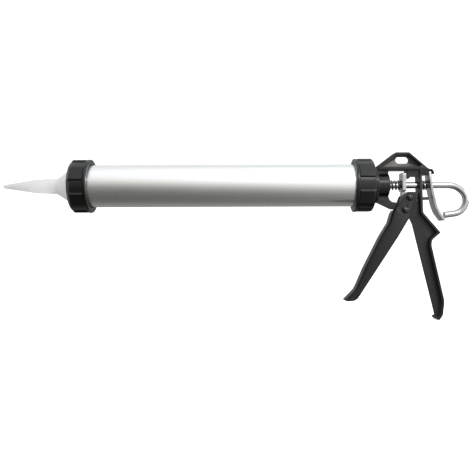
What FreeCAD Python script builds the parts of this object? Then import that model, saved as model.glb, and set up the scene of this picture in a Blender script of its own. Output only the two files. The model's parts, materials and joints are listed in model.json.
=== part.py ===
"""Barrel caulking gun with a swivelling tube, a die-cast pistol frame and a hooked push rod.

Millimetres. The origin is the centre of the nozzle's outlet. +X runs along the barrel towards
the handle, +Z is up, and the barrel's axis is the X axis.
"""
import FreeCAD, Part
import math
import os

V = FreeCAD.Vector
AXIS_X = V(1, 0, 0)
AXIS_Y = V(0, 1, 0)
os.makedirs("parts", exist_ok=True)

# ---- driving dimensions --------------------------------------------------------------------
TUBE_R = 26.5            # outside of the aluminium barrel
TUBE_WALL = 1.2
TUBE_FRONT = 94.5
TUBE_REAR = 455.0
TUBE_BORE = TUBE_R - TUBE_WALL
MOVING_GAP = 0.3         # between curved faces that move past each other

NOZZLE_OUTLET_R = 1.5
NOZZLE_OUTLET_LENGTH = 6.0

CAP_PAD = 32.8           # centre to a raised pad of a cap
CAP_FLAT = 31.4          # centre to a recessed flat of a cap
CAP_CLEAR = 37.0         # outside everything on a cap
CAP_COLLAR_R = 33.5
CAP_COLLAR = 3.7         # length of the round collar
CAP_GROOVE = 0.6         # gap between the collar and the pads
CAP_GROOVE_R = 31.2
CAP_CHAMFER = 3.0
CAP_CHAMFER_R = 31.2     # radius where the chamfer meets the end face
CAP_SECTORS = 12
RING_TURN = -5.3         # degrees that the front ring is screwed past the rear cap's flats
RING_FRONT = 87.2
RING_REAR = 111.3
RING_LIP = 4.0           # thickness of the front ring's lip
LIP_R = 24.5             # opening in the front ring's lip
REAR_CAP_FRONT = 439.3
REAR_CAP_REAR = 463.0

WASHER_OUT_R = 20.0      # washer behind the swivel nut
SWIVEL_NUT_ACROSS = 36.0
SWIVEL_NUT_FRONT = 445.6
SWIVEL_NUT_REAR = 453.6
SWIVEL_WASHER_REAR = 455.1

DISC_R = 22.7            # frame flange that the rear cap turns against
DISC_FRONT = 463.2
DISC_REAR = 468.5
BOSS_R = 14.5
BOSS_REAR = 483.5
SPIGOT_R = 11.5
SPIGOT_FRONT = 444.0

ROD_R = 4.0
RUNNING = 0.05           # radial clearance of a running fit
FRAME_HALF = 11.0        # half width of the frame's rims and of the trigger
WEB_HALF = 2.75          # half thickness of the frame's middle web
BLOCK_HALF = 8.0         # half width of the guide block above the rod
RIM = 3.3                # thickness of the frame's rear rim
COLUMN_REAR = 523.4      # at its top; it leans back towards its foot
COLUMN_FOOT = 524.9
COLUMN_FRONT = 520.4
RAIL_LOW = 18.5          # underside of the top rail
EDGE = 0.8               # cast edge rounding
HANG_SLOT = (500.7, 31.4)
HANG_SLOT_LONG = 16.8
HANG_SLOT_HIGH = 8.5

PIVOT = (503.2, -31.1)   # trigger pivot, X and Z
PUSHER = (508.9, -15.4)  # pin that drives the gripping plate
RIVET_R = 3.0
PUSHER_R = 2.4
HEAD_R = 4.7
HEAD_HIGH = 2.4
CHEEK_IN = 4.2           # trigger cheeks, from the middle plane
CHEEK_OUT = 8.2
WALL_IN = 8.0            # inside of the trigger's channel
TRIGGER_WALL = 3.0
SHOULDER_R = 10.5        # arc about the pivot where the channel's sides start
FINGER_ROUND = 3.5       # rounding of the trigger's front edges

PLATE_FRONT = 499.6
PLATE_THICK = 4.5
PLATE_HALF = 9.5
PLATE_TAIL_HALF = 3.75
PLATE_TAIL_LOW = -18.6
PLATE_PAD = 2.2          # wear pad on the tail where the pusher pin bears
SPRING_R = 5.6           # mean radius of both springs
SPRING_GAP = 0.1         # between a spring's end and its seat
DRIVE_WIRE_R = 0.8
DRIVE_TURNS = 4.0
CATCH_WIRE_R = 0.65
CATCH_TURNS = 2.5
CATCH_SPRING_FRONT = 524.1
CATCH_SPRING_REAR = 533.1

LEVER_HINGE = (533.6, 15.2)
LEVER_THICK = 3.0
LEVER_HALF = 10.0
STOP_Z = -16.6
STOP_R = 1.9
STOP_END = 534.4

PISTON_FRONT = 105.5
PISTON_THICK = 8.0
CUP_THICK = 6.0
WASHER_THICK = 1.5
FRONT_WASHER_R = 8.5
REAR_WASHER_R = 9.5
PISTON_NUT_ACROSS = 13.0
PISTON_NUT_THICK = 5.0
SPINDLE_R = 3.0
SPINDLE_END = 2.0        # thread showing past the piston nut
STACK_GAP = 0.1          # end float of the turning rod in its piston

HOOK_START = 559.0
HOOK_BENDS = [(24.0, 50.0), (16.6, 122.0)]   # radius and degrees of turn
HOOK_TIP = 13.4          # straight length after the last bend


# ---- shape helpers -------------------------------------------------------------------------
def corner_points(before, corner, after, radius):
    """Start, middle and end of the arc that rounds a corner."""
    back = (before - corner).normalize()
    ahead = (after - corner).normalize()
    half = back.getAngle(ahead) / 2
    reach = radius / math.tan(half)
    bisector = (back + ahead).normalize()
    middle = corner + bisector * (radius / math.sin(half) - radius)
    return corner + back * reach, middle, corner + ahead * reach


def closed_wire(points, place):
    """Closed wire through (u, v) or (u, v, corner radius) points, put in space by place(u, v)."""
    corners = [place(p[0], p[1]) for p in points]
    radii = [p[2] if len(p) > 2 else 0 for p in points]
    edges = []
    ends = []
    count = len(corners)
    for i in range(count):
        if radii[i]:
            following = corners[(i + 1) % count]
            start, middle, end = corner_points(corners[i - 1], corners[i], following, radii[i])
            edges.append(Part.Arc(start, middle, end).toShape())
            ends.append((start, end))
        else:
            ends.append((corners[i], corners[i]))
    for i in range(count):
        start = ends[i][1]
        end = ends[(i + 1) % count][0]
        if start.distanceToPoint(end) > 1e-6:
            edges.append(Part.LineSegment(start, end).toShape())
    return Part.Wire(Part.__sortEdges__(edges))


def slab(points, y_low, y_high):
    """Side profile in X and Z, as a slab between two Y planes."""
    wire = closed_wire(points, lambda x, z: V(x, y_low, z))
    return Part.Face(wire).extrude(V(0, y_high - y_low, 0))


def round_faces(solid, y_low, y_high, radius):
    """Round the edges that lie wholly in either of two Y planes."""
    def in_plane(edge, y):
        return all(abs(v.Y - y) < 1e-6 for v in edge.Vertexes)
    rims = [e for e in solid.Edges if in_plane(e, y_low) or in_plane(e, y_high)]
    return solid.makeFillet(radius, rims)


def soft_slab(points, half, radius=EDGE):
    """Slab centred on the middle plane, with rounded edges."""
    return round_faces(slab(points, -half, half), -half, half, radius)


def cross_plate(points, x_low, x_high):
    """Front profile in Y and Z, as a plate between two X planes."""
    wire = closed_wire(points, lambda y, z: V(x_low, y, z))
    return Part.Face(wire).extrude(V(x_high - x_low, 0, 0))


def turned(profile):
    """Solid of revolution about the X axis from (x, radius) or (x, radius, corner radius) points."""
    wire = closed_wire(profile, lambda x, r: V(x, 0, r))
    return Part.Face(wire).revolve(V(0, 0, 0), AXIS_X, 360)


def rod_x(radius, x_low, x_high):
    return Part.makeCylinder(radius, x_high - x_low, V(x_low, 0, 0), AXIS_X)


def pin_y(radius, centre, y_low, y_high):
    return Part.makeCylinder(radius, y_high - y_low, V(centre[0], y_low, centre[1]), AXIS_Y)


def shifted(path, amount):
    """The path moved sideways, to its left for a positive amount, with mitred corners."""
    moved = []
    for i, point in enumerate(path):
        here = V(point[0], point[1], 0)
        before = V(path[i - 1][0], path[i - 1][1], 0) if i else None
        after = V(path[i + 1][0], path[i + 1][1], 0) if i + 1 < len(path) else None
        steps = []
        if before:
            steps.append((here - before).normalize())
        if after:
            steps.append((after - here).normalize())
        normals = [V(-s.y, s.x, 0) for s in steps]
        side = (normals[0] + normals[-1]).normalize()
        place = here + side * (amount / side.dot(normals[0]))
        radius = point[2] if len(point) > 2 else 0
        if radius and len(steps) == 2:
            radius -= amount * math.copysign(1, steps[0].cross(steps[1]).z)
            radius = radius if radius > 1 else 0
        moved.append((place.x, place.y, radius))
    return moved


def band(path, left, right):
    """Closed outline that follows a path, so far to its left and so far to its right."""
    return shifted(path, left) + list(reversed(shifted(path, -right)))


def coil(x_low, x_high, mean_radius, wire_radius, turns):
    """Round-wire compression spring about the X axis."""
    height = x_high - x_low - 2 * wire_radius
    helix = Part.makeHelix(height / turns, height, mean_radius).Edges[0]
    half_turns = round(2 * turns)
    step = (helix.LastParameter - helix.FirstParameter) / half_turns
    path = helix.split([helix.FirstParameter + step * i for i in range(1, half_turns)])
    start = helix.valueAt(helix.FirstParameter)
    tangent = helix.tangentAt(helix.FirstParameter)
    section = Part.Wire(Part.makeCircle(wire_radius, start, tangent))
    spring = Part.Wire(path.Edges).makePipeShell([section], True, True)
    spring.rotate(V(0, 0, 0), AXIS_Y, 90)
    spring.translate(V(x_low + wire_radius, 0, 0))
    return spring


def hexagon(across, x_low, x_high):
    """Six-sided prism about the X axis, so far across its flats."""
    reach = across / 2 / math.cos(math.radians(30))
    angles = [math.radians(60 * k) for k in range(6)]
    return cross_plate([(reach * math.cos(a), reach * math.sin(a)) for a in angles], x_low, x_high)


def domed_head(centre, y_seat, direction):
    """Low rivet head whose flat side is at y_seat and whose dome points along direction."""
    ball_r = (HEAD_R ** 2 + HEAD_HIGH ** 2) / (2 * HEAD_HIGH)
    ball = Part.makeSphere(ball_r, V(centre[0], y_seat + direction * (HEAD_HIGH - ball_r), centre[1]))
    low = min(y_seat, y_seat + direction * HEAD_HIGH)
    return ball.common(pin_y(HEAD_R, centre, low, low + HEAD_HIGH))


def twelve_sided(x_low, x_high, turn=0.0):
    """Prism whose sides are alternately recessed flats and raised pads, turned by so many degrees."""
    half = math.pi / CAP_SECTORS
    points = []
    for k in range(CAP_SECTORS):
        reach = (CAP_FLAT if k % 2 == 0 else CAP_PAD) / math.cos(half)
        for edge in (-half, half):
            angle = math.pi + 2 * half * k + edge - math.radians(turn)
            points.append((reach * math.cos(angle), reach * math.sin(angle)))
    return cross_plate(points, x_low, x_high)


# ---- nozzle end ----------------------------------------------------------------------------
def nozzle():
    """Hollow cone nozzle with a flared skirt and a clamping flange."""
    outer = [(0, 2.2), (40.6, 8.7), (68.0, 9.9, 9), (88.1, 23.5), (89.3, 24.1), (91.4, 24.1),
             (91.4, 26.8, 0.3), (93.3, 26.8, 0.3)]
    inner = [(93.3, 23.4), (88.6, 21.6), (68.6, 8.3, 9), (40.6, 7.1),
             (NOZZLE_OUTLET_LENGTH, NOZZLE_OUTLET_R), (0, NOZZLE_OUTLET_R)]
    return turned(outer + inner)


def nozzle_seal():
    """Flat washer between the nozzle's flange and the tube's end."""
    return turned([(93.3, 23.6), (93.3, TUBE_R), (94.3, TUBE_R), (94.3, 23.6)])


def front_ring():
    """Screw ring that clamps the nozzle to the barrel."""
    collar = RING_REAR - CAP_COLLAR
    groove = collar - CAP_GROOVE
    lip = RING_FRONT + RING_LIP
    outside = [(RING_FRONT, CAP_CHAMFER_R, 0.8), (RING_FRONT + CAP_CHAMFER, CAP_CLEAR - 3.0),
               (RING_FRONT + CAP_CHAMFER, CAP_CLEAR), (groove, CAP_CLEAR), (groove, CAP_GROOVE_R),
               (collar, CAP_GROOVE_R), (collar, CAP_COLLAR_R, 0.6), (RING_REAR, CAP_COLLAR_R, 0.9),
               (RING_REAR, 10.0), (RING_FRONT, 10.0)]
    inside = [(RING_FRONT - 1, LIP_R + 0.5), (RING_FRONT + 0.5, LIP_R), (lip, LIP_R), (lip, TUBE_R + 0.7),
              (TUBE_FRONT, TUBE_R + 0.7), (TUBE_FRONT, TUBE_R + MOVING_GAP),
              (RING_REAR - 0.6, TUBE_R + MOVING_GAP), (RING_REAR + 1, TUBE_R + 1.9),
              (RING_REAR + 1, 1), (RING_FRONT - 1, 1)]
    pads = twelve_sided(RING_FRONT, groove + 0.1, RING_TURN)
    body = pads.fuse(rod_x(CAP_COLLAR_R, groove, RING_REAR))
    return body.common(turned(outside)).cut(turned(inside)).removeSplitter()


# ---- barrel --------------------------------------------------------------------------------
def barrel_tube():
    """Drawn aluminium tube."""
    return rod_x(TUBE_R, TUBE_FRONT, TUBE_REAR).cut(rod_x(TUBE_BORE, TUBE_FRONT, TUBE_REAR))


def rear_cap():
    """Cap that closes the barrel and turns on the frame's spigot."""
    collar = REAR_CAP_FRONT + CAP_COLLAR
    groove = collar + CAP_GROOVE
    floor = TUBE_REAR + MOVING_GAP
    bore = SPIGOT_R + MOVING_GAP
    outside = [(REAR_CAP_FRONT, 10.0), (REAR_CAP_FRONT, CAP_COLLAR_R, 0.9), (collar, CAP_COLLAR_R, 0.6),
               (collar, CAP_GROOVE_R), (groove, CAP_GROOVE_R), (groove, CAP_CLEAR),
               (REAR_CAP_REAR - CAP_CHAMFER, CAP_CLEAR), (REAR_CAP_REAR - CAP_CHAMFER, CAP_CLEAR - 3.0),
               (REAR_CAP_REAR, CAP_CHAMFER_R, 0.8), (REAR_CAP_REAR, 10.0)]
    inside = [(REAR_CAP_FRONT - 1, TUBE_R + 1.6), (REAR_CAP_FRONT + 0.6, TUBE_R), (floor, TUBE_R),
              (floor, bore), (REAR_CAP_REAR + 1, bore), (REAR_CAP_REAR + 1, 1), (REAR_CAP_FRONT - 1, 1)]
    body = twelve_sided(groove - 0.1, REAR_CAP_REAR).fuse(rod_x(CAP_COLLAR_R, REAR_CAP_FRONT, groove))
    return body.common(turned(outside)).cut(turned(inside)).removeSplitter()


def swivel_washer():
    """Steel washer that the rear cap's end wall turns against."""
    ring = rod_x(WASHER_OUT_R, SWIVEL_NUT_REAR, SWIVEL_WASHER_REAR)
    return ring.cut(rod_x(SPIGOT_R, SWIVEL_NUT_REAR, SWIVEL_WASHER_REAR))


def swivel_nut():
    """Hexagon nut with turned corners that holds the rear cap on the frame's spigot."""
    flat = SWIVEL_NUT_ACROSS / 2
    chamfer = 1.2
    rounding = turned([(SWIVEL_NUT_FRONT, 0.5), (SWIVEL_NUT_FRONT, flat - 0.4),
                       (SWIVEL_NUT_FRONT + chamfer, flat + 2.9), (SWIVEL_NUT_REAR - chamfer, flat + 2.9),
                       (SWIVEL_NUT_REAR, flat - 0.4), (SWIVEL_NUT_REAR, 0.5)])
    body = hexagon(SWIVEL_NUT_ACROSS, SWIVEL_NUT_FRONT, SWIVEL_NUT_REAR).common(rounding)
    return body.cut(rod_x(SPIGOT_R, SWIVEL_NUT_FRONT, SWIVEL_NUT_REAR))


# ---- frame ---------------------------------------------------------------------------------
REAR_EDGE = [(COLUMN_REAR, 12.7), (COLUMN_FOOT, -34.6, 4), (546.5, -59.6, 1.3), (535.8, -68.8, 5),
             (535.0, -75.2, 14), (551.1, -145.2, 26), (548.8, -162.8, 8), (543.2, -170.3, 2.2),
             (540.9, -165.2)]


def frame_upper():
    """Top of the frame: carrying plate, rail, arm and the lip that holds the catch lever's top."""
    outline = [(DISC_REAR, RAIL_LOW), (DISC_REAR, 23.3), (490.9, 40.3, 4), (507.8, 40.3, 4), (531.5, 20.1, 3),
               (536.4, 19.2, 1.4), (538.7, 15.6, 0.9), (538.5, 13.2, 0.9), (535.7, 13.2, 0.6),
               (535.5, 17.4, 1.4), (531.8, 17.4, 1.4), (531.3, 12.7, 0.9), (COLUMN_FRONT, 12.7),
               (COLUMN_FRONT, RAIL_LOW)]
    pocket = [(474.6, 22.3, 1), (491.3, 37.8, 2.5), (507.2, 37.8, 2.5), (523.4, 24.2, 1), (520.2, 22.3, 1)]
    upper = soft_slab(outline, FRAME_HALF)
    for side in (-1, 1):
        low, high = sorted((side * WEB_HALF, side * (FRAME_HALF + 1)))
        upper = upper.cut(slab(pocket, low, high))
    block = [(505.6, 8.0, 0.8), (508.9, 8.0, 0.8), (508.9, 11.0, 0.8), (COLUMN_FRONT + 0.5, 11.0),
             (COLUMN_FRONT + 0.5, 19.0), (505.6, 19.0)]
    return upper.fuse(slab(block, -BLOCK_HALF, BLOCK_HALF))


def frame_web():
    """Middle web: strut, pivot boss and grip, with the mechanism window."""
    outline = [(DISC_REAR - 1, -21.6), (DISC_REAR - 1, 22.6), (491.3, 38.9, 3), (507.4, 38.9, 3),
               (529.0, 20.5), (529.0, 14.0), (521.9, 14.0), (523.4, -35.0, 3), (543.9, -59.3, 1),
               (534.0, -67.6, 5), (533.2, -75.2, 8), (549.2, -145.2, 20), (547.0, -161.8, 6),
               (542.9, -168.0, 2), (540.4, -157.0, 6), (514.0, -49.6, 9), (509.9, -40.4, 1.6),
               (503.5, -40.4, 6), (496.6, -37.4, 5), (495.2, -31.0, 2), (486.2, -30.2), (471.0, -22.8)]
    window = [(BOSS_REAR, RAIL_LOW), (BOSS_REAR, -21.5, 8), (COLUMN_FRONT, -21.5, 4),
              (COLUMN_FRONT, RAIL_LOW)]
    return slab(outline, -WEB_HALF, WEB_HALF).cut(slab(window, -WEB_HALF - 1, WEB_HALF + 1))


def hanging_slot():
    """Oval slot through the carrying plate."""
    x_mid, z_mid = HANG_SLOT
    half_long = HANG_SLOT_LONG / 2
    half_high = HANG_SLOT_HIGH / 2
    corner = half_high - 0.05
    oval = [(x_mid - half_long, z_mid - half_high, corner), (x_mid - half_long, z_mid + half_high, corner),
            (x_mid + half_long, z_mid + half_high, corner), (x_mid + half_long, z_mid - half_high, corner)]
    return slab(oval, -WEB_HALF - 1, WEB_HALF + 1)


def frame_rim():
    """Wide rim down the rear column, round the thumb spur, down the grip and round its foot."""
    return soft_slab(band(REAR_EDGE, 0, RIM), FRAME_HALF)


def frame():
    """One-piece die casting that everything else is mounted on."""
    front = turned([(SPIGOT_FRONT, 0.5), (SPIGOT_FRONT, SPIGOT_R - 0.8), (SPIGOT_FRONT + 0.8, SPIGOT_R),
                    (DISC_FRONT, SPIGOT_R), (DISC_FRONT, DISC_R, 0.8), (DISC_REAR, DISC_R, 1.2),
                    (DISC_REAR, BOSS_R, 2), (BOSS_REAR, BOSS_R, 1.5), (BOSS_REAR, 0.5)])
    body = front.fuse([frame_upper(), frame_web(), frame_rim()])
    holes = [hanging_slot(),
             rod_x(ROD_R + RUNNING, SPIGOT_FRONT - 1, BOSS_REAR + 1),
             rod_x(ROD_R + RUNNING, COLUMN_FRONT - 2, COLUMN_FOOT),
             pin_y(RIVET_R, PIVOT, -FRAME_HALF, FRAME_HALF),
             Part.makeCylinder(STOP_R, COLUMN_FOOT - COLUMN_FRONT, V(COLUMN_FRONT, 0, STOP_Z), AXIS_X)]
    return body.cut(Part.makeCompound(holes)).removeSplitter()


def pivot_rivet():
    """Domed rivet through the web that the trigger turns on."""
    seat = CHEEK_OUT + 0.1
    shank = pin_y(RIVET_R, PIVOT, -seat, seat)
    return shank.fuse([domed_head(PIVOT, -seat, -1), domed_head(PIVOT, seat, 1)])


def stop_pin():
    """Pin in the column that limits the catch lever's travel."""
    pin = Part.makeCylinder(STOP_R, STOP_END - COLUMN_FRONT, V(COLUMN_FRONT, 0, STOP_Z), AXIS_X)
    end_edges = [e for e in pin.Edges if len(e.Vertexes) == 1 and abs(e.Vertexes[0].X - STOP_END) < 1e-6]
    return pin.makeFillet(0.5, end_edges)


# ---- drive ---------------------------------------------------------------------------------
TRIGGER_TOP = -31.4
TRIGGER_FRONT = [(427.1, -143.7), (440.6, -129.9, 22), (452.1, -103.8, 70), (472.3, -64.0, 60),
                 (482.8, -47.2, 9), (486.2, -35.6, 6), (488.8, TRIGGER_TOP)]


def forward_edges(solid, half):
    """Edges in the planes Y = -half and Y = half of the side faces that look forward."""
    def in_side_plane(edge):
        box = edge.BoundBox
        return box.YLength < 0.01 and abs(abs(box.YMin) - half) < 0.01
    chosen = []
    for face in solid.Faces:
        low_u, high_u, low_v, high_v = face.ParameterRange
        if face.normalAt((low_u + high_u) / 2, (low_v + high_v) / 2).x < -0.5:
            chosen += [e for e in face.Edges if in_side_plane(e)]
    return chosen


def trigger():
    """Finger lever: a channel open to the rear, with two cheeks that straddle the frame's web."""
    rear = [(501.0, TRIGGER_TOP), (507.3, -41.6, 1.5), (493.9, -64.0, 60), (459.0, -117.6, 34),
            (441.3, -144.3, 12), (430.6, -144.7, 1.0)]
    arm = slab(TRIGGER_FRONT + rear, -FRAME_HALF, FRAME_HALF)
    arm = arm.makeFillet(FINGER_ROUND, forward_edges(arm, FRAME_HALF))
    above = [(494.6, -27.0), (560.0, -27.0), (560.0, -150.0), (446.0, -160.0)]
    arm = arm.cut(slab(shifted(TRIGGER_FRONT, -TRIGGER_WALL) + above, -WALL_IN, WALL_IN))
    for side in (-1, 1):
        low, high = sorted((side * WEB_HALF, side * (FRAME_HALF + 1)))
        arm = arm.cut(pin_y(SHOULDER_R, PIVOT, low, high))
    cheek = [(506.0, -8.7, 1.5), (517.0, -8.7, 2), (517.0, -26.0, 10), (507.8, -41.0, 1.5), (504.0, -46.3),
             (490.9, -46.3), (491.6, -31.4, 2), (494.6, -24.8, 2), (498.8, -13.8, 2)]
    cheeks = [slab(cheek, -CHEEK_OUT, -CHEEK_IN), slab(cheek, CHEEK_IN, CHEEK_OUT)]
    holes = [pin_y(RIVET_R + RUNNING, PIVOT, -FRAME_HALF, FRAME_HALF),
             pin_y(PUSHER_R, PUSHER, -FRAME_HALF, FRAME_HALF)]
    return arm.fuse(cheeks).cut(Part.makeCompound(holes)).removeSplitter()


def pusher_pin():
    """Domed pin across the trigger's cheeks that pushes the gripping plate."""
    shank = pin_y(PUSHER_R, PUSHER, -CHEEK_OUT, CHEEK_OUT)
    return shank.fuse([domed_head(PUSHER, -CHEEK_OUT, -1), domed_head(PUSHER, CHEEK_OUT, 1)])


def drive_plate():
    """Thick steel plate that grips the rod, with a narrow tail between the trigger's cheeks."""
    outline = [(-PLATE_HALF, -7.8, 1.5), (-PLATE_HALF, 15.3, 2.5), (PLATE_HALF, 15.3, 2.5),
               (PLATE_HALF, -7.8, 1.5), (PLATE_TAIL_HALF, -7.8, 0.8), (PLATE_TAIL_HALF, PLATE_TAIL_LOW, 1.5),
               (-PLATE_TAIL_HALF, PLATE_TAIL_LOW, 1.5), (-PLATE_TAIL_HALF, -7.8, 0.8)]
    rear = PLATE_FRONT + PLATE_THICK
    plate = cross_plate(outline, PLATE_FRONT, rear)
    pad = Part.makeBox(PLATE_PAD, 2 * PLATE_TAIL_HALF, 8.0, V(rear, -PLATE_TAIL_HALF, PLATE_TAIL_LOW))
    hole = rod_x(ROD_R + 0.15, PLATE_FRONT - 1, rear + 1)
    return plate.fuse(pad).cut(hole).removeSplitter()


def drive_spring():
    """Spring that returns the gripping plate and the trigger."""
    return coil(BOSS_REAR + SPRING_GAP, PLATE_FRONT - SPRING_GAP, SPRING_R, DRIVE_WIRE_R, DRIVE_TURNS)


# ---- catch ---------------------------------------------------------------------------------
def catch_lever():
    """Thumb lever that locks the rod, hung by its rounded top end under the frame's lip."""
    middle = [LEVER_HINGE, (534.9, 6.0, 60), (536.6, -8.0, 80), (540.6, -25.0, 45), (544.0, -34.0, 25),
              (550.9, -43.2)]
    half = LEVER_THICK / 2
    lever = slab(band(middle, half, half), -LEVER_HALF, LEVER_HALF)
    top = pin_y(half, LEVER_HINGE, -LEVER_HALF, LEVER_HALF)
    foot = pin_y(half, middle[-1], -LEVER_HALF, LEVER_HALF)
    lever = lever.fuse([top, foot])
    return lever.cut(rod_x(ROD_R + 0.7, 525.0, 545.0)).removeSplitter()


def catch_spring():
    """Spring between the column and the catch lever."""
    return coil(CATCH_SPRING_FRONT, CATCH_SPRING_REAR, SPRING_R, CATCH_WIRE_R, CATCH_TURNS)


# ---- rod and piston ------------------------------------------------------------------------
def stack():
    """X places along the piston stack, from the nut's front face to the rod's shoulder."""
    front_washer = PISTON_FRONT - STACK_GAP - WASHER_THICK
    rear_washer = PISTON_FRONT + PISTON_THICK + CUP_THICK + STACK_GAP
    return {"nut": front_washer - PISTON_NUT_THICK,
            "front_washer": front_washer,
            "rear_washer": rear_washer,
            "shoulder": rear_washer + WASHER_THICK}


def push_rod():
    """Round steel rod with a threaded front end and a bent pulling hook."""
    shoulder = stack()["shoulder"]
    edges = [Part.LineSegment(V(shoulder, 0, 0), V(HOOK_START, 0, 0)).toShape()]
    place = V(HOOK_START, 0, 0)
    heading = 0.0
    for radius, turn in HOOK_BENDS:
        ahead = math.radians(heading)
        centre = place + V(math.sin(ahead), 0, -math.cos(ahead)) * radius
        points = []
        for share in (0, 0.5, 1):
            angle = math.radians(heading - turn * share)
            points.append(centre + V(-math.sin(angle), 0, math.cos(angle)) * radius)
        edges.append(Part.Arc(*points).toShape())
        place = points[-1]
        heading -= turn
    end = place + V(math.cos(math.radians(heading)), 0, math.sin(math.radians(heading))) * HOOK_TIP
    edges.append(Part.LineSegment(place, end).toShape())
    section = Part.Wire(Part.makeCircle(ROD_R, V(shoulder, 0, 0), AXIS_X))
    bar = Part.Wire(edges).makePipeShell([section], True, True)
    bar = bar.makeFillet(0.8, [e for e in bar.Edges if e.CenterOfMass.distanceToPoint(end) < 0.01])
    thread_end = stack()["nut"] - SPINDLE_END
    spindle = turned([(thread_end, 0), (thread_end, SPINDLE_R - 0.5), (thread_end + 0.5, SPINDLE_R),
                      (shoulder, SPINDLE_R), (shoulder, 0)])
    return bar.fuse(spindle)


def washer(x_low, radius):
    """Flat washer on the rod's spindle."""
    return rod_x(radius, x_low, x_low + WASHER_THICK).cut(rod_x(SPINDLE_R, x_low, x_low + WASHER_THICK))


def piston_front_washer():
    return washer(stack()["front_washer"], FRONT_WASHER_R)


def piston_rear_washer():
    return washer(stack()["rear_washer"], REAR_WASHER_R)


def piston_nut():
    """Hexagon nut that keeps the piston on the rod."""
    x_low = stack()["nut"]
    x_high = x_low + PISTON_NUT_THICK
    return hexagon(PISTON_NUT_ACROSS, x_low, x_high).cut(rod_x(SPINDLE_R, x_low, x_high))


def piston():
    """Moulded piston disc with a hollow front and a stiff hub."""
    rear = PISTON_FRONT + PISTON_THICK
    hollow = PISTON_FRONT + PISTON_THICK / 2
    bore = SPINDLE_R + RUNNING
    edge = TUBE_BORE - MOVING_GAP
    return turned([(PISTON_FRONT, bore), (PISTON_FRONT, 9.0), (hollow, 11.0, 1), (hollow, 22.0, 1),
                   (PISTON_FRONT, 22.8), (PISTON_FRONT, edge, 0.6), (rear, edge, 0.6), (rear, bore)])


def piston_cup():
    """Rubber cup that wipes the barrel behind the piston."""
    low = PISTON_FRONT + PISTON_THICK
    high = low + CUP_THICK
    bore = SPINDLE_R + RUNNING
    edge = TUBE_BORE - MOVING_GAP
    return turned([(low, bore), (low, edge - 1.2, 1), (low + 2.0, edge), (high - 0.6, edge),
                   (high - 0.6, edge - 2.2), (low + 3.0, edge - 3.4, 1), (low + 3.0, 12.0), (high, 10.0),
                   (high, bore)])


# ---- write every piece ---------------------------------------------------------------------
PIECES = {
    "nozzle": nozzle,
    "nozzle_seal": nozzle_seal,
    "front_ring": front_ring,
    "barrel_tube": barrel_tube,
    "rear_cap": rear_cap,
    "swivel_washer": swivel_washer,
    "swivel_nut": swivel_nut,
    "frame": frame,
    "pivot_rivet": pivot_rivet,
    "stop_pin": stop_pin,
    "trigger": trigger,
    "pusher_pin": pusher_pin,
    "drive_plate": drive_plate,
    "drive_spring": drive_spring,
    "catch_lever": catch_lever,
    "catch_spring": catch_spring,
    "push_rod": push_rod,
    "piston": piston,
    "piston_cup": piston_cup,
    "piston_front_washer": piston_front_washer,
    "piston_rear_washer": piston_rear_washer,
    "piston_nut": piston_nut,
}

for name, make in PIECES.items():
    shape = make()
    solids = shape.Solids
    state = "valid" if shape.isValid() else "NOT VALID"
    print(name, state, len(solids), "solid", round(shape.Volume, 1), "mm3")
    if shape.ShapeType != "Solid" and len(solids) == 1:
        shape = solids[0]
    shape.exportStep("parts/" + name + ".step")
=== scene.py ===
"""Looks for the barrel caulking gun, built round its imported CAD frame. Metres, in the CAD's frame."""
import json
import math

import bmesh
import bpy
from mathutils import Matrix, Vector


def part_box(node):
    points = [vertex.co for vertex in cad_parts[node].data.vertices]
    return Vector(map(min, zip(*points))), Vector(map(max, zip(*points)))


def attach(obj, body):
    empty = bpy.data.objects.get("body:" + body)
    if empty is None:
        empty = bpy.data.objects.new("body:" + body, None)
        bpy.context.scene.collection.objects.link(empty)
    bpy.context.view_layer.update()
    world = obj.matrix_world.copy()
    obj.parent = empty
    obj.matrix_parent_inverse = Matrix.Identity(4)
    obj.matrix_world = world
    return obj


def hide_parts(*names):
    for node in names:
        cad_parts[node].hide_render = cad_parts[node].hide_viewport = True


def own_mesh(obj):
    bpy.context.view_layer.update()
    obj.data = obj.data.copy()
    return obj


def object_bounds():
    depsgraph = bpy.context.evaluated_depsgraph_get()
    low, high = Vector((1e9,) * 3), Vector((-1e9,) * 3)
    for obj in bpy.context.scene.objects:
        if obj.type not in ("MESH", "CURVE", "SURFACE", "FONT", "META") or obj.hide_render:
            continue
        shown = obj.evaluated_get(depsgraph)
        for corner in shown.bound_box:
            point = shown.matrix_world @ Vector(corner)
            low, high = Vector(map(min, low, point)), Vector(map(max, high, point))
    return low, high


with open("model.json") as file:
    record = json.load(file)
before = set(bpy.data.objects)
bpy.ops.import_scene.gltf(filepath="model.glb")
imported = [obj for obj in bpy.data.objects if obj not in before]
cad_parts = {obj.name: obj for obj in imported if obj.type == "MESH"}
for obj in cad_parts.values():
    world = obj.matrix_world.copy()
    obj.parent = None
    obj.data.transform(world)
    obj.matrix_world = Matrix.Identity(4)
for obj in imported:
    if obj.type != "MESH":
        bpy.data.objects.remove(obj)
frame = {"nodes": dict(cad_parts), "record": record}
cad_low, cad_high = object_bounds()
scene = bpy.context.scene
MM = 0.001

# Places on the casting that its finish and its painted light follow, in metres from the middle of the
# nozzle's outlet.
BOSS_START = 0.463       # turned boss behind the rear cap
BOSS_END = 0.4845        # just past the boss, so that its end face belongs to it
BOSS_REACH = 0.0155      # height above and below the axis that holds the boss
POCKET_LOW = 0.019       # height at which the painted light on the web round the hanging slot sets in
POCKET_REACH = 0.00325   # distance from the middle plane that holds the pocket's web
GRIP_START = 0.5225
GRIP_HIGH = -0.08        # height under which the grip is dull

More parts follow.
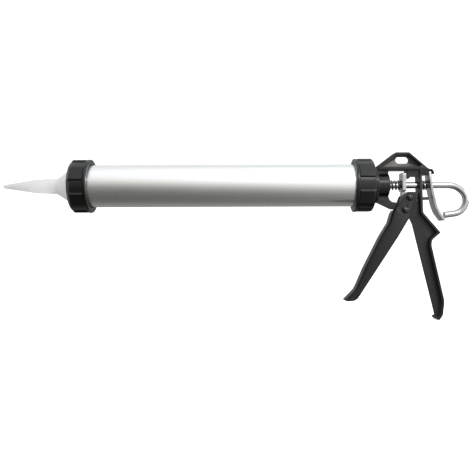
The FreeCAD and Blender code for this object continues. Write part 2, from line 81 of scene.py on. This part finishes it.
# Caps, in millimetres and degrees.
CAP_FLOOR = 31.5         # axis to the rounded floor of a recess
CAP_PAD = 32.8           # axis to a raised pad
CAP_OUTSIDE = 34.6       # past the pads, so that pads and floors shape the side
CAP_ROUNDING = 0.7       # softness where the side meets a chamfer
CAP_SECTORS = 12
CAP_SECTOR = math.radians(360 / CAP_SECTORS)
COLLAR_LENGTH = 3.7
GROOVE_WIDTH = 0.6       # between the collar and the pads
GROOVE_R = 31.0
PAD_STEP = 3.0
TUBE_GAP = 0.3
TUBE_CHAMFER = 1.2
RING_TURN = 5.3          # how far the front ring is screwed past the rear cap's flats
RING_LIP = 4.0           # thickness of the lip that holds the nozzle
RING_LIP_R = 24.5
RING_SEAT = 7.3          # front face to the back of the seat for the nozzle's flange
RING_SEAT_GAP = 0.7
RING_CHAMFER = 3.0
RING_CHAMFER_R = (30.2, 33.5)
REAR_CHAMFER = 2.2
REAR_CHAMFER_R = (31.0, 33.6)
SWIVEL_R = 11.8          # hole for the frame's spigot

# Half a cap's sector, from its middle to its edge: place in sectors, and the ledge's share of its rise.
CAP_STEPS = ((0.0, 0.0), (0.15, 0.0), (0.3, 0.0), (0.4, 0.0), (0.44, 0.0), (0.466, 0.00774),
             (0.483, 0.35438), (0.5, 0.5))

# Springs.
CLOSED_PITCH = 1.04      # pitch of a closed end turn, in wire diameters
STEPS_PER_TURN = 40
WIRE_SIDES = 14


# ---- material building ---------------------------------------------------------------------
class Nodes:
    """A node tree under construction, with short ways to add the nodes that feed its shader."""

    def __init__(self, tree, shader):
        self.tree = tree
        self.shader = tree.nodes[shader]

    def connect(self, value, socket):
        """Link an output to a socket, or set the socket to a plain value."""
        if isinstance(value, bpy.types.NodeSocket):
            self.tree.links.new(value, socket)
        else:
            socket.default_value = value

    def add(self, kind, inputs=None, **settings):
        node = self.tree.nodes.new(kind)
        for key, value in settings.items():
            setattr(node, key, value)
        for key, value in (inputs or {}).items():
            self.connect(value, node.inputs[key])
        return node

    def place(self, scale=(1, 1, 1)):
        """Object coordinates in metres, stretched by scale."""
        coordinates = self.add("ShaderNodeTexCoord").outputs["Object"]
        return self.add("ShaderNodeMapping", {"Vector": coordinates, "Scale": scale}).outputs["Vector"]

    def axes(self, vector):
        """The X, Y and Z outputs of a vector."""
        return self.add("ShaderNodeSeparateXYZ", {0: vector}).outputs

    def noise(self, scale, detail=4.0, roughness=0.5, stretch=(1, 1, 1)):
        inputs = {"Vector": self.place(stretch), "Scale": scale, "Detail": detail, "Roughness": roughness}
        return self.add("ShaderNodeTexNoise", inputs).outputs["Fac"]

    def ramp(self, value, low, high, low_to, high_to):
        inputs = {"Value": value, "From Min": low, "From Max": high, "To Min": low_to, "To Max": high_to}
        return self.add("ShaderNodeMapRange", inputs, clamp=True).outputs["Result"]

    def vary(self, noise, low_to, high_to, low=0.3, high=0.7):
        """Noise spread from its usual range to the given one."""
        return self.ramp(noise, low, high, low_to, high_to)

    def above(self, value, edge, width):
        """1 where the value is over the edge, 0 where it is under, and a ramp as wide as given between."""
        return self.ramp(value, edge - width / 2, edge + width / 2, 0.0, 1.0)

    def below(self, value, edge, width):
        """1 where the value is under the edge and 0 where it is over."""
        return self.ramp(value, edge - width / 2, edge + width / 2, 1.0, 0.0)

    def mix(self, share, first, second):
        node = self.add("ShaderNodeMix", data_type="RGBA")
        for key, value in (("Factor", share), ("A", first), ("B", second)):
            self.connect(value, next(s for s in node.inputs if s.enabled and s.name == key))
        return next(s for s in node.outputs if s.enabled)

    def calculate(self, operation, *values):
        return self.add("ShaderNodeMath", dict(enumerate(values)), operation=operation).outputs[0]

    def total(self, first, second):
        return self.calculate("ADD", first, second)

    def product(self, first, second):
        return self.calculate("MULTIPLY", first, second)

    def feed(self, socket, value):
        self.tree.links.new(value, self.shader.inputs[socket])

    def bump(self, height, distance, strength):
        node = self.add("ShaderNodeBump", {"Height": height, "Distance": distance, "Strength": strength})
        self.feed("Normal", node.outputs["Normal"])


class Material(Nodes):
    """A principled material under construction, with the named sockets set to plain values."""

    def __init__(self, name, **sockets):
        self.material = bpy.data.materials.new(name)
        self.material.use_nodes = True
        super().__init__(self.material.node_tree, "Principled BSDF")
        for socket, value in sockets.items():
            self.shader.inputs[socket.replace("_", " ")].default_value = value


def grey(value):
    return (value, value, value, 1.0)


def edge_wear(n, low, high):
    """Share of wear, rising along convex edges and broken up by noise."""
    sharp = n.add("ShaderNodeNewGeometry").outputs["Pointiness"]
    broken = n.total(sharp, n.vary(n.noise(900.0), -0.02, 0.02))
    return n.ramp(broken, low, high, 0.0, 1.0)


def pocket_painted_light_share(n, place):
    """Share of painted light: the side faces of the web round the hanging slot, lightened towards the top
    to stand in for the light they catch.
    """
    normal = n.axes(n.add("ShaderNodeTexCoord").outputs["Normal"])
    sideways = n.above(n.calculate("ABSOLUTE", normal["Y"]), 0.875, 0.15)
    web = n.below(n.calculate("ABSOLUTE", place["Y"]), POCKET_REACH, 0.0005)
    high = n.above(place["Z"], POCKET_LOW, 0.022)
    uneven = n.vary(n.noise(140.0), 0.75, 1.0)
    return n.product(n.product(high, n.product(web, sideways)), uneven)


def boss_share(n, place):
    """Share of the turned boss, which is smoother than the cast faces."""
    along = n.product(n.above(place["X"], BOSS_START, 0.001), n.below(place["X"], BOSS_END, 0.001))
    return n.product(along, n.below(n.calculate("ABSOLUTE", place["Z"]), BOSS_REACH, 0.002))


def grip_share(n, place):
    """Share of the grip, which is duller than the rest of the casting."""
    return n.product(n.above(place["X"], GRIP_START, 0.015), n.below(place["Z"], GRIP_HIGH, 0.08))


def cast_black_paint():
    """Semi-gloss black over a die casting: fine orange peel, faint mottle, bare corners, and a painted
    lighter patch on the web round the hanging slot.
    """
    n = Material("cast_black_paint", Roughness=0.36, Specular_IOR_Level=0.42)
    place = n.axes(n.place())
    mottle = n.vary(n.noise(260.0, 5.0), 0.0, 1.0, low=0.35)
    colour = n.mix(mottle, (0.002, 0.002, 0.0022, 1), (0.005, 0.005, 0.0052, 1))
    # Painted light: the web round the hanging slot is lightened to a brownish grey, standing in for light
    # falling on it.
    colour = n.mix(pocket_painted_light_share(n, place), colour, (0.3, 0.27, 0.25, 1))
    n.feed("Base Color", n.mix(edge_wear(n, 0.53, 0.6), colour, (0.03, 0.03, 0.029, 1)))
    smoother = n.product(boss_share(n, place), -0.1)
    duller = n.product(grip_share(n, place), 0.25)
    uneven = n.vary(n.noise(420.0, 6.0), 0.32, 0.44)
    n.feed("Roughness", n.total(n.total(uneven, smoother), duller))
    n.bump(n.total(n.noise(1500.0, 2.0), n.noise(300.0, 3.0)), 0.00006, 0.5)
    return n.material


def moulded_black_plastic():
    """Satin moulded plastic with a fine spark-eroded grain and slightly polished corners."""
    n = Material("moulded_black_plastic", Roughness=0.35, Specular_IOR_Level=0.5)
    soft = n.vary(n.noise(120.0), 0.0, 1.0)
    colour = n.mix(soft, (0.0016, 0.0017, 0.0021, 1), (0.003, 0.0031, 0.0036, 1))
    n.feed("Base Color", n.mix(edge_wear(n, 0.54, 0.64), colour, (0.012, 0.012, 0.013, 1)))
    n.feed("Roughness", n.vary(n.noise(700.0, 5.0), 0.24, 0.36))
    n.bump(n.noise(2600.0, 2.0), 0.00004, 0.35)
    return n.material


def satin_aluminium():
    """Drawn and anodised tube: fine lines along the tube, slight smudges."""
    n = Material("satin_aluminium", Metallic=1.0, Roughness=0.3)
    lines = n.noise(1.0, 6.0, 0.6, (6.0, 2600.0, 2600.0))
    smudge = n.noise(22.0, 4.0, 0.55, (0.5, 1, 1))
    n.feed("Base Color", n.mix(n.vary(lines, 0.0, 1.0), (0.86, 0.86, 0.85, 1), (0.93, 0.93, 0.92, 1)))
    n.feed("Roughness", n.total(n.vary(lines, 0.2, 0.28), n.vary(smudge, 0.0, 0.05, low=0.35)))
    n.bump(lines, 0.00001, 0.35)
    return n.material


def bright_steel():
    """Polished drawn bar with faint draw lines and a little handling haze."""
    n = Material("bright_steel", Metallic=1.0, Roughness=0.2)
    lines = n.noise(1.0, 5.0, 0.6, (12.0, 3200.0, 3200.0))
    haze = n.vary(n.noise(90.0, 5.0), 0.0, 0.1, low=0.35)
    n.feed("Base Color", n.mix(n.vary(lines, 0.0, 1.0), (0.42, 0.42, 0.43, 1), (0.55, 0.55, 0.56, 1)))
    n.feed("Roughness", n.total(n.vary(lines, 0.1, 0.18), haze))
    n.bump(lines, 0.00001, 0.3)
    return n.material


def zinc_plate():
    """Bright zinc on a stamped plate: rolled grain, patchy lustre."""
    n = Material("zinc_plate", Metallic=1.0, Roughness=0.35)
    grain = n.noise(1.0, 5.0, 0.6, (900.0, 2400.0, 260.0))
    patches = n.noise(150.0)
    n.feed("Base Color", n.mix(n.vary(patches, 0.0, 1.0), (0.4, 0.405, 0.41, 1), (0.56, 0.56, 0.555, 1)))
    n.feed("Roughness", n.total(n.vary(grain, 0.24, 0.36), n.vary(patches, 0.0, 0.08)))
    n.bump(grain, 0.00002, 0.4)
    return n.material


def oiled_spring_steel():
    """Dark oiled wire with a patchy sheen."""
    n = Material("oiled_spring_steel", Metallic=1.0, Roughness=0.3)
    patches = n.vary(n.noise(500.0), 0.0, 1.0)
    n.feed("Base Color", n.mix(patches, (0.1, 0.1, 0.105, 1), (0.22, 0.22, 0.23, 1)))
    n.feed("Roughness", n.vary(n.noise(900.0), 0.18, 0.34))
    return n.material


def black_rivet_steel():
    """Blackened rivet heads, smoother than the paint round them."""
    n = Material("black_rivet_steel", Roughness=0.25, Coat_Weight=0.3, Coat_Roughness=0.12)
    patches = n.vary(n.noise(420.0), 0.0, 1.0, low=0.35)
    n.feed("Base Color", n.mix(patches, (0.006, 0.006, 0.0065, 1), (0.012, 0.012, 0.0125, 1)))
    n.feed("Roughness", n.vary(n.noise(1100.0), 0.2, 0.34))
    n.bump(n.noise(1400.0, 2.0), 0.00004, 0.4)
    return n.material


def milky_plastic():
    """Translucent moulded polyethylene, cloudy and waxy, with a painted glow: emission that stands in for
    light coming through it, more at the bottom and less at the top.
    """
    n = Material("milky_plastic", Roughness=0.38, IOR=1.5, Emission_Strength=1.0, Subsurface_Weight=0.5,
                 Subsurface_Scale=0.004, Subsurface_Radius=(1, 1, 1))
    place = n.axes(n.place())
    cloud = n.vary(n.noise(60.0, stretch=(0.4, 1, 1)), 0.0, 1.0)
    n.feed("Base Color", n.mix(cloud, (0.4, 0.405, 0.405, 1), (0.46, 0.46, 0.455, 1)))
    # Painted glow: emission standing in for light through the plastic, a little stronger towards the
    # nozzle's base.
    painted_glow = n.ramp(place["X"], 0.012, 0.04, 0.24, 0.34)
    # Painted light and shade: more emission at the bottom, standing in for light from the floor, and less
    # at the top, ahead of the skirt.
    painted_light_from_below = n.ramp(place["Z"], -0.01, 0.01, 0.25, -0.13)
    before_skirt = n.below(place["X"], 0.0625, 0.015)
    n.feed("Emission Color", n.total(painted_glow, n.product(painted_light_from_below, before_skirt)))
    n.feed("Roughness", n.vary(n.noise(500.0), 0.32, 0.46))
    n.bump(n.noise(900.0, 3.0), 0.00004, 0.35)
    return n.material


def plain_rubber():
    """Matt rubber with a little dust."""
    n = Material("plain_rubber", Roughness=0.7)
    dust = n.vary(n.noise(300.0), 0.0, 1.0, 0.4, 0.75)
    n.feed("Base Color", n.mix(dust, grey(0.012), grey(0.03)))
    n.bump(n.noise(1200.0, 3.0), 0.00005, 0.5)
    return n.material


LOOKS = {
    "nozzle_plastic": milky_plastic(),
    "seal_rubber": plain_rubber(),
    "black_plastic": moulded_black_plastic(),
    "satin_aluminium": satin_aluminium(),
    "black_paint": cast_black_paint(),
    "black_steel": black_rivet_steel(),
    "zinc_steel": zinc_plate(),
    "spring_steel": oiled_spring_steel(),
    "rod_steel": bright_steel(),
    "piston_plastic": moulded_black_plastic(),
}


def dress_cad():
    """Give every CAD node the finish of its material slot."""
    for subpart in frame["record"]["subparts"]:
        for material_slot in frame["nodes"][subpart["node"]].material_slots:
            material_slot.material = LOOKS[subpart["material_slot"]]


# ---- pieces made here ----------------------------------------------------------------------
def stand_for(piece, node):
    """Let a piece take a CAD node's place, on the node's body, with the node hidden."""
    bodies = frame["record"]["behaviour"]["bodies"]
    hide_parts(node)
    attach(piece, next(body for body, nodes in bodies.items() if node in nodes))


def mesh_piece(name, vertices, faces, node, slot):
    """A smooth mesh that stands for a CAD node."""
    mesh = bpy.data.meshes.new(name)
    mesh.from_pydata(vertices, [], faces)
    work = bmesh.new()
    work.from_mesh(mesh)
    bmesh.ops.recalc_face_normals(work, faces=work.faces)
    work.to_mesh(mesh)
    work.free()
    mesh.shade_smooth()
    mesh.materials.append(LOOKS[slot])
    piece = bpy.data.objects.new(name, mesh)
    scene.collection.objects.link(piece)
    stand_for(piece, node)
    return piece


def loop_grid(rings, closed_along):
    """Vertices and quads of a surface through equally long closed rings."""
    count = len(rings[0])
    vertices = [point for ring in rings for point in ring]
    faces = []
    for i in range(len(rings) if closed_along else len(rings) - 1):
        j = (i + 1) % len(rings)
        for k in range(count):
            m = (k + 1) % count
            faces.append((i * count + k, i * count + m, j * count + m, j * count + k))
    return vertices, faces


def rounded(profile, steps=4):
    """Closed (x, r) profile with its (x, r, corner radius) points turned into curves."""
    out = []
    for i, point in enumerate(profile):
        corner = Vector(point[:2])
        if len(point) < 3:
            out.append(tuple(corner))
            continue
        before = Vector(profile[i - 1][:2]) - corner
        after = Vector(profile[(i + 1) % len(profile)][:2]) - corner
        half = before.angle(after) / 2
        reach = min(point[2] / math.tan(half), 0.45 * before.length, 0.45 * after.length)
        start = corner + before.normalized() * reach
        end = corner + after.normalized() * reach
        for k in range(steps + 1):
            share = k / steps
            out.append(tuple(start.lerp(corner, share).lerp(corner.lerp(end, share), share)))
    return out


def soft_least(first, second, softness):
    """The lesser of two lengths, rounded where they meet."""
    gap = max(softness - abs(first - second), 0.0) / softness
    return min(first, second) - gap * gap * softness / 4


def cap_side():
    """Angles round a cap from a floor's middle, each with the distance from the axis to its side."""
    steps = [(-place, rise) for place, rise in reversed(CAP_STEPS[1:])] + list(CAP_STEPS[:-1])
    side = []
    for sector in range(CAP_SECTORS):
        recessed = sector % 2 == 0
        for place, rise in steps:
            raised = rise if recessed else 1 - rise
            from_pad = (1 - abs(place) if recessed else place) * CAP_SECTOR
            reach = (1 - raised) * CAP_FLOOR + raised * CAP_PAD / math.cos(from_pad)
            side.append(((sector + place) * CAP_SECTOR, reach))
    return side


def build_cap(name, node, profile, pads, turn):
    """Cap as a closed profile swept round the X axis, cut back to the cap's side between two places."""
    side = cap_side()
    rings = []
    for x, r in rounded(profile):
        on_side = pads[0] - 0.01 <= x <= pads[1] + 0.01 and r > CAP_FLOOR - 1.5
        ring = []
        for angle, side_reach in side:
            reach = soft_least(r, side_reach, CAP_ROUNDING) if on_side else r
            around = angle + math.radians(turn)
            ring.append((x * MM, -reach * math.cos(around) * MM, -reach * math.sin(around) * MM))
        rings.append(ring)
    vertices, faces = loop_grid(rings, True)
    mesh_piece(name, vertices, faces, node, "black_plastic")


def collar(end, inward, collar_r, tube_r):
    """Profile of a cap's collar and groove, from the tube outwards to the pads, inward along X."""
    shoulder = end + inward * COLLAR_LENGTH
    pads = shoulder + inward * GROOVE_WIDTH
    return [(end, tube_r + TUBE_CHAMFER, 0.5), (end, collar_r, 1.0), (shoulder, collar_r, 0.7),
            (shoulder, GROOVE_R, 0.25), (pads - inward * 0.05, GROOVE_R, 0.25), (pads, CAP_OUTSIDE, 0.3)]


def pad_line(start):
    """Profile points along a cap's pads, close enough together to keep the mesh even."""
    return [(start + PAD_STEP * k, CAP_OUTSIDE) for k in range(5)]


def build_front_ring(collar_r, tube_r):
    low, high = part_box("front_ring")
    front, rear = low[0] / MM, high[0] / MM
    collar_and_groove = collar(rear, -1, collar_r, tube_r)
    bore_r = tube_r + TUBE_GAP
    seat_r = tube_r + RING_SEAT_GAP
    profile = [(front + RING_LIP, RING_LIP_R), (front, RING_LIP_R, 0.5), (front, RING_CHAMFER_R[0], 0.7),
               (front + RING_CHAMFER, RING_CHAMFER_R[1], 1.2)]
    profile += pad_line(front + RING_CHAMFER + 1.0) + collar_and_groove[::-1]
    profile += [(rear - 1.0, bore_r), (front + RING_SEAT, bore_r), (front + RING_SEAT, seat_r),
                (front + RING_LIP, seat_r)]
    build_cap("front_ring_moulding", "front_ring", profile, (front, collar_and_groove[-1][0]), RING_TURN)


def build_rear_cap(collar_r, tube_r, tube_end):
    low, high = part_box("rear_cap")
    front, rear = low[0] / MM, high[0] / MM
    collar_and_groove = collar(front, 1, collar_r, tube_r)
    shelf = tube_end + TUBE_GAP
    pads = collar_and_groove[-1][0]
    profile = [(front + 1.0, tube_r)] + collar_and_groove + pad_line(pads + PAD_STEP)
    profile += [(rear - REAR_CHAMFER, REAR_CHAMFER_R[1], 1.2), (rear, REAR_CHAMFER_R[0], 0.9),
                (rear, SWIVEL_R, 0.4), (shelf, SWIVEL_R), (shelf, tube_r)]
    build_cap("rear_cap_moulding", "rear_cap", profile, (pads, rear), 0.0)


def build_caps():
    collar_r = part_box("front_ring")[1][1] / MM
    tube_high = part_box("barrel_tube")[1]
    build_front_ring(collar_r, tube_high[1] / MM)
    build_rear_cap(collar_r, tube_high[1] / MM, tube_high[0] / MM)


def build_spring(name, node, wire_r, turns):
    """Compression spring about the X axis, with a closed turn at each end and round wire."""
    low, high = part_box(node)
    mean_r = (high[1] - low[1]) / 2 - wire_r
    closed = 2 * wire_r * CLOSED_PITCH
    pitch = (high[0] - low[0] - 2 * wire_r - 2 * closed) / turns
    rings = []
    for step in range(int((turns + 2) * STEPS_PER_TURN) + 1):
        turn = step / STEPS_PER_TURN
        dead = min(turn, 1.0) + max(turn - turns - 1, 0.0)
        live = min(max(turn - 1.0, 0.0), turns)
        angle = 2 * math.pi * turn
        outward = Vector((0, math.cos(angle), math.sin(angle)))
        rise = pitch / (2 * math.pi * mean_r)
        ahead = Vector((rise, -math.sin(angle), math.cos(angle))).normalized()
        across = ahead.cross(outward)
        centre = Vector((low[0] + wire_r + dead * closed + live * pitch, 0, 0)) + outward * mean_r
        ring = []
        for side in range(WIRE_SIDES):
            roll = 2 * math.pi * side / WIRE_SIDES
            ring.append(tuple(centre + (outward * math.cos(roll) + across * math.sin(roll)) * wire_r))
        rings.append(ring)
    vertices, faces = loop_grid(rings, False)
    faces.append(tuple(reversed(range(WIRE_SIDES))))
    faces.append(tuple(range(len(vertices) - WIRE_SIDES, len(vertices))))
    return mesh_piece(name, vertices, faces, node, "spring_steel")


def build_springs():
    drive = build_spring("drive_spring_wire", "drive_spring", 0.8 * MM, 2.6)
    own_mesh(drive)
    catch = build_spring("catch_spring_wire", "catch_spring", 0.65 * MM, 1.6)
    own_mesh(catch)


def soften(node, slot, width):
    """Copy of a CAD node with its sharp edges rounded off, which stands for it."""
    source = frame["nodes"][node]
    mesh = source.data.copy()
    work = bmesh.new()
    work.from_mesh(mesh)
    bmesh.ops.remove_doubles(work, verts=work.verts, dist=0.00001)
    bmesh.ops.dissolve_limit(work, angle_limit=math.radians(1), verts=work.verts, edges=work.edges)
    work.to_mesh(mesh)
    work.free()
    piece = bpy.data.objects.new(node + "_soft", mesh)
    piece.matrix_world = source.matrix_world
    scene.collection.objects.link(piece)
    bevel = piece.modifiers.new("rounding", "BEVEL")
    bevel.width = width
    bevel.segments = 3
    bevel.limit_method = "ANGLE"
    bevel.angle_limit = math.radians(35)
    bevel.miter_outer = "MITER_ARC"
    bpy.context.view_layer.update()
    made = bpy.data.meshes.new_from_object(piece.evaluated_get(bpy.context.evaluated_depsgraph_get()))
    piece.modifiers.clear()
    piece.data = made
    made.materials.clear()
    made.materials.append(LOOKS[slot])
    made.shade_smooth()
    made.set_sharp_from_angle(angle=math.radians(40))
    stand_for(piece, node)


# ---- stage, lights and camera --------------------------------------------------------------
def build_stage():
    """Pale floor that sweeps up into a backdrop behind the object."""
    floor_z = cad_low.z - 0.0005
    back = 2.2
    rise = 1.2
    steps = 12
    rows = [(-3.0, floor_z), (back, floor_z)]
    for step in range(1, steps + 1):
        angle = math.radians(90 * step / steps)
        rows.append((back + rise * math.sin(angle), floor_z + rise * (1 - math.cos(angle))))
    rows.append((back + rise, floor_z + 4.5))
    work = bmesh.new()
    previous = None
    for y, z in rows:
        pair = [work.verts.new((x, y, z)) for x in (-5.0, 5.6)]
        if previous:
            work.faces.new((previous[0], previous[1], pair[1], pair[0]))
        previous = pair
    mesh = bpy.data.meshes.new("floor")
    work.to_mesh(mesh)
    work.free()
    mesh.shade_smooth()
    floor = bpy.data.objects.new("floor", mesh)
    scene.collection.objects.link(floor)
    pale = Material("pale_floor", Roughness=0.9, Specular_IOR_Level=0.1, Emission_Color=grey(1.0),
                    Emission_Strength=0.5)
    pale.feed("Base Color", pale.mix(pale.vary(pale.noise(3.0, 3.0), 0.0, 1.0), grey(0.9), grey(0.93)))
    mesh.materials.append(pale.material)
    floor.visible_glossy = False
    floor.visible_diffuse = False


# The studio as (height, brightness) levels, on the camera's side and behind the object.
FRONT_SKY = [(-1.4, 0.12), (-1.0, 0.16), (-0.75, 0.19), (-0.58, 0.26), (-0.42, 0.35), (-0.25, 0.48),
             (-0.1, 0.64), (0.05, 0.83), (0.2, 1.0), (0.35, 1.14), (0.5, 1.1), (0.62, 1.1), (0.8, 1.35),
             (1.0, 1.5), (1.4, 1.5)]
BACK_SKY = [(-1.0, 0.17), (-0.86, 0.24), (-0.5, 0.3), (-0.2, 0.33), (0.0, 0.36), (0.3, 0.66), (0.6, 0.9),
            (1.0, 0.9)]
SKY_SPAN = 1.5           # heights run from minus this to plus this
SKY_LEAN = 1.6           # how much higher the front sky counts for each step to the right
COOL_ABOVE = 0.3
COOL = (0.965, 0.99, 1.02)
WARM = (1.0, 1.0, 0.965)


def sky(n, levels, height):
    """Colour of the studio at a height, from (height, brightness) levels."""
    ramp = n.add("ShaderNodeValToRGB", {"Fac": n.ramp(height, -SKY_SPAN, SKY_SPAN, 0.0, 1.0)})
    stops = ramp.color_ramp.elements
    while len(stops) < len(levels):
        stops.new(0.5)
    for stop, (z, level) in zip(stops, levels):
        tint = COOL if z > COOL_ABOVE else WARM
        stop.position = (z + SKY_SPAN) / (2 * SKY_SPAN)
        stop.color = [level * share for share in tint] + [1.0]
    return ramp.outputs["Color"]


def build_world():
    """Soft studio surround: bright above and to the right, dark below in front, white to the camera."""
    world = bpy.data.worlds.new("studio")
    world.use_nodes = True
    scene.world = world
    n = Nodes(world.node_tree, "Background")
    direction = n.axes(n.add("ShaderNodeTexCoord").outputs["Generated"])
    lean = n.ramp(direction["X"], -0.4, 0.3, -0.4 * SKY_LEAN, 0.3 * SKY_LEAN)
    front = sky(n, FRONT_SKY, n.total(direction["Z"], lean))
    back = sky(n, BACK_SKY, direction["Z"])
    around = n.mix(n.ramp(direction["Y"], -0.2, 0.5, 0.0, 1.0), front, back)
    n.feed("Color", n.mix(n.add("ShaderNodeLightPath").outputs["Is Camera Ray"], around, grey(1.0)))


LIGHT_TARGET = (0.45, 0.0, 0.0)   # handle end of the barrel
LIGHT_POWER = 9.0


def area_light(name, place, size):
    data = bpy.data.lights.new(name, "AREA")
    data.shape = "RECTANGLE"
    data.size, data.size_y = size
    data.energy = LIGHT_POWER
    light = bpy.data.objects.new(name, data)
    light.location = place
    light.rotation_euler = (Vector(LIGHT_TARGET) - Vector(place)).to_track_quat("-Z", "Y").to_euler()
    scene.collection.objects.link(light)


def build_camera():
    """45 mm lens square on to the gun's side, a little below the barrel's axis."""
    data = bpy.data.cameras.new("camera")
    data.lens = 45.2
    data.shift_x = -0.036
    camera = bpy.data.objects.new("camera", data)
    camera.location = (0.312, -0.743, -0.0619)
    camera.rotation_euler = (math.radians(90), math.radians(0.19), 0)
    scene.collection.objects.link(camera)
    scene.camera = camera


dress_cad()
build_caps()
build_springs()
soften("frame", "black_paint", 0.7 * MM)
soften("trigger", "black_paint", 1.0 * MM)
soften("drive_plate", "zinc_steel", 0.35 * MM)
soften("catch_lever", "zinc_steel", 0.35 * MM)
build_stage()
build_world()
area_light("key", (1.0, -1.55, 1.05), (0.6, 0.4))
area_light("right", (2.3, -0.25, 0.45), (0.6, 0.8))
build_camera()
scene.view_settings.view_transform = "Standard"
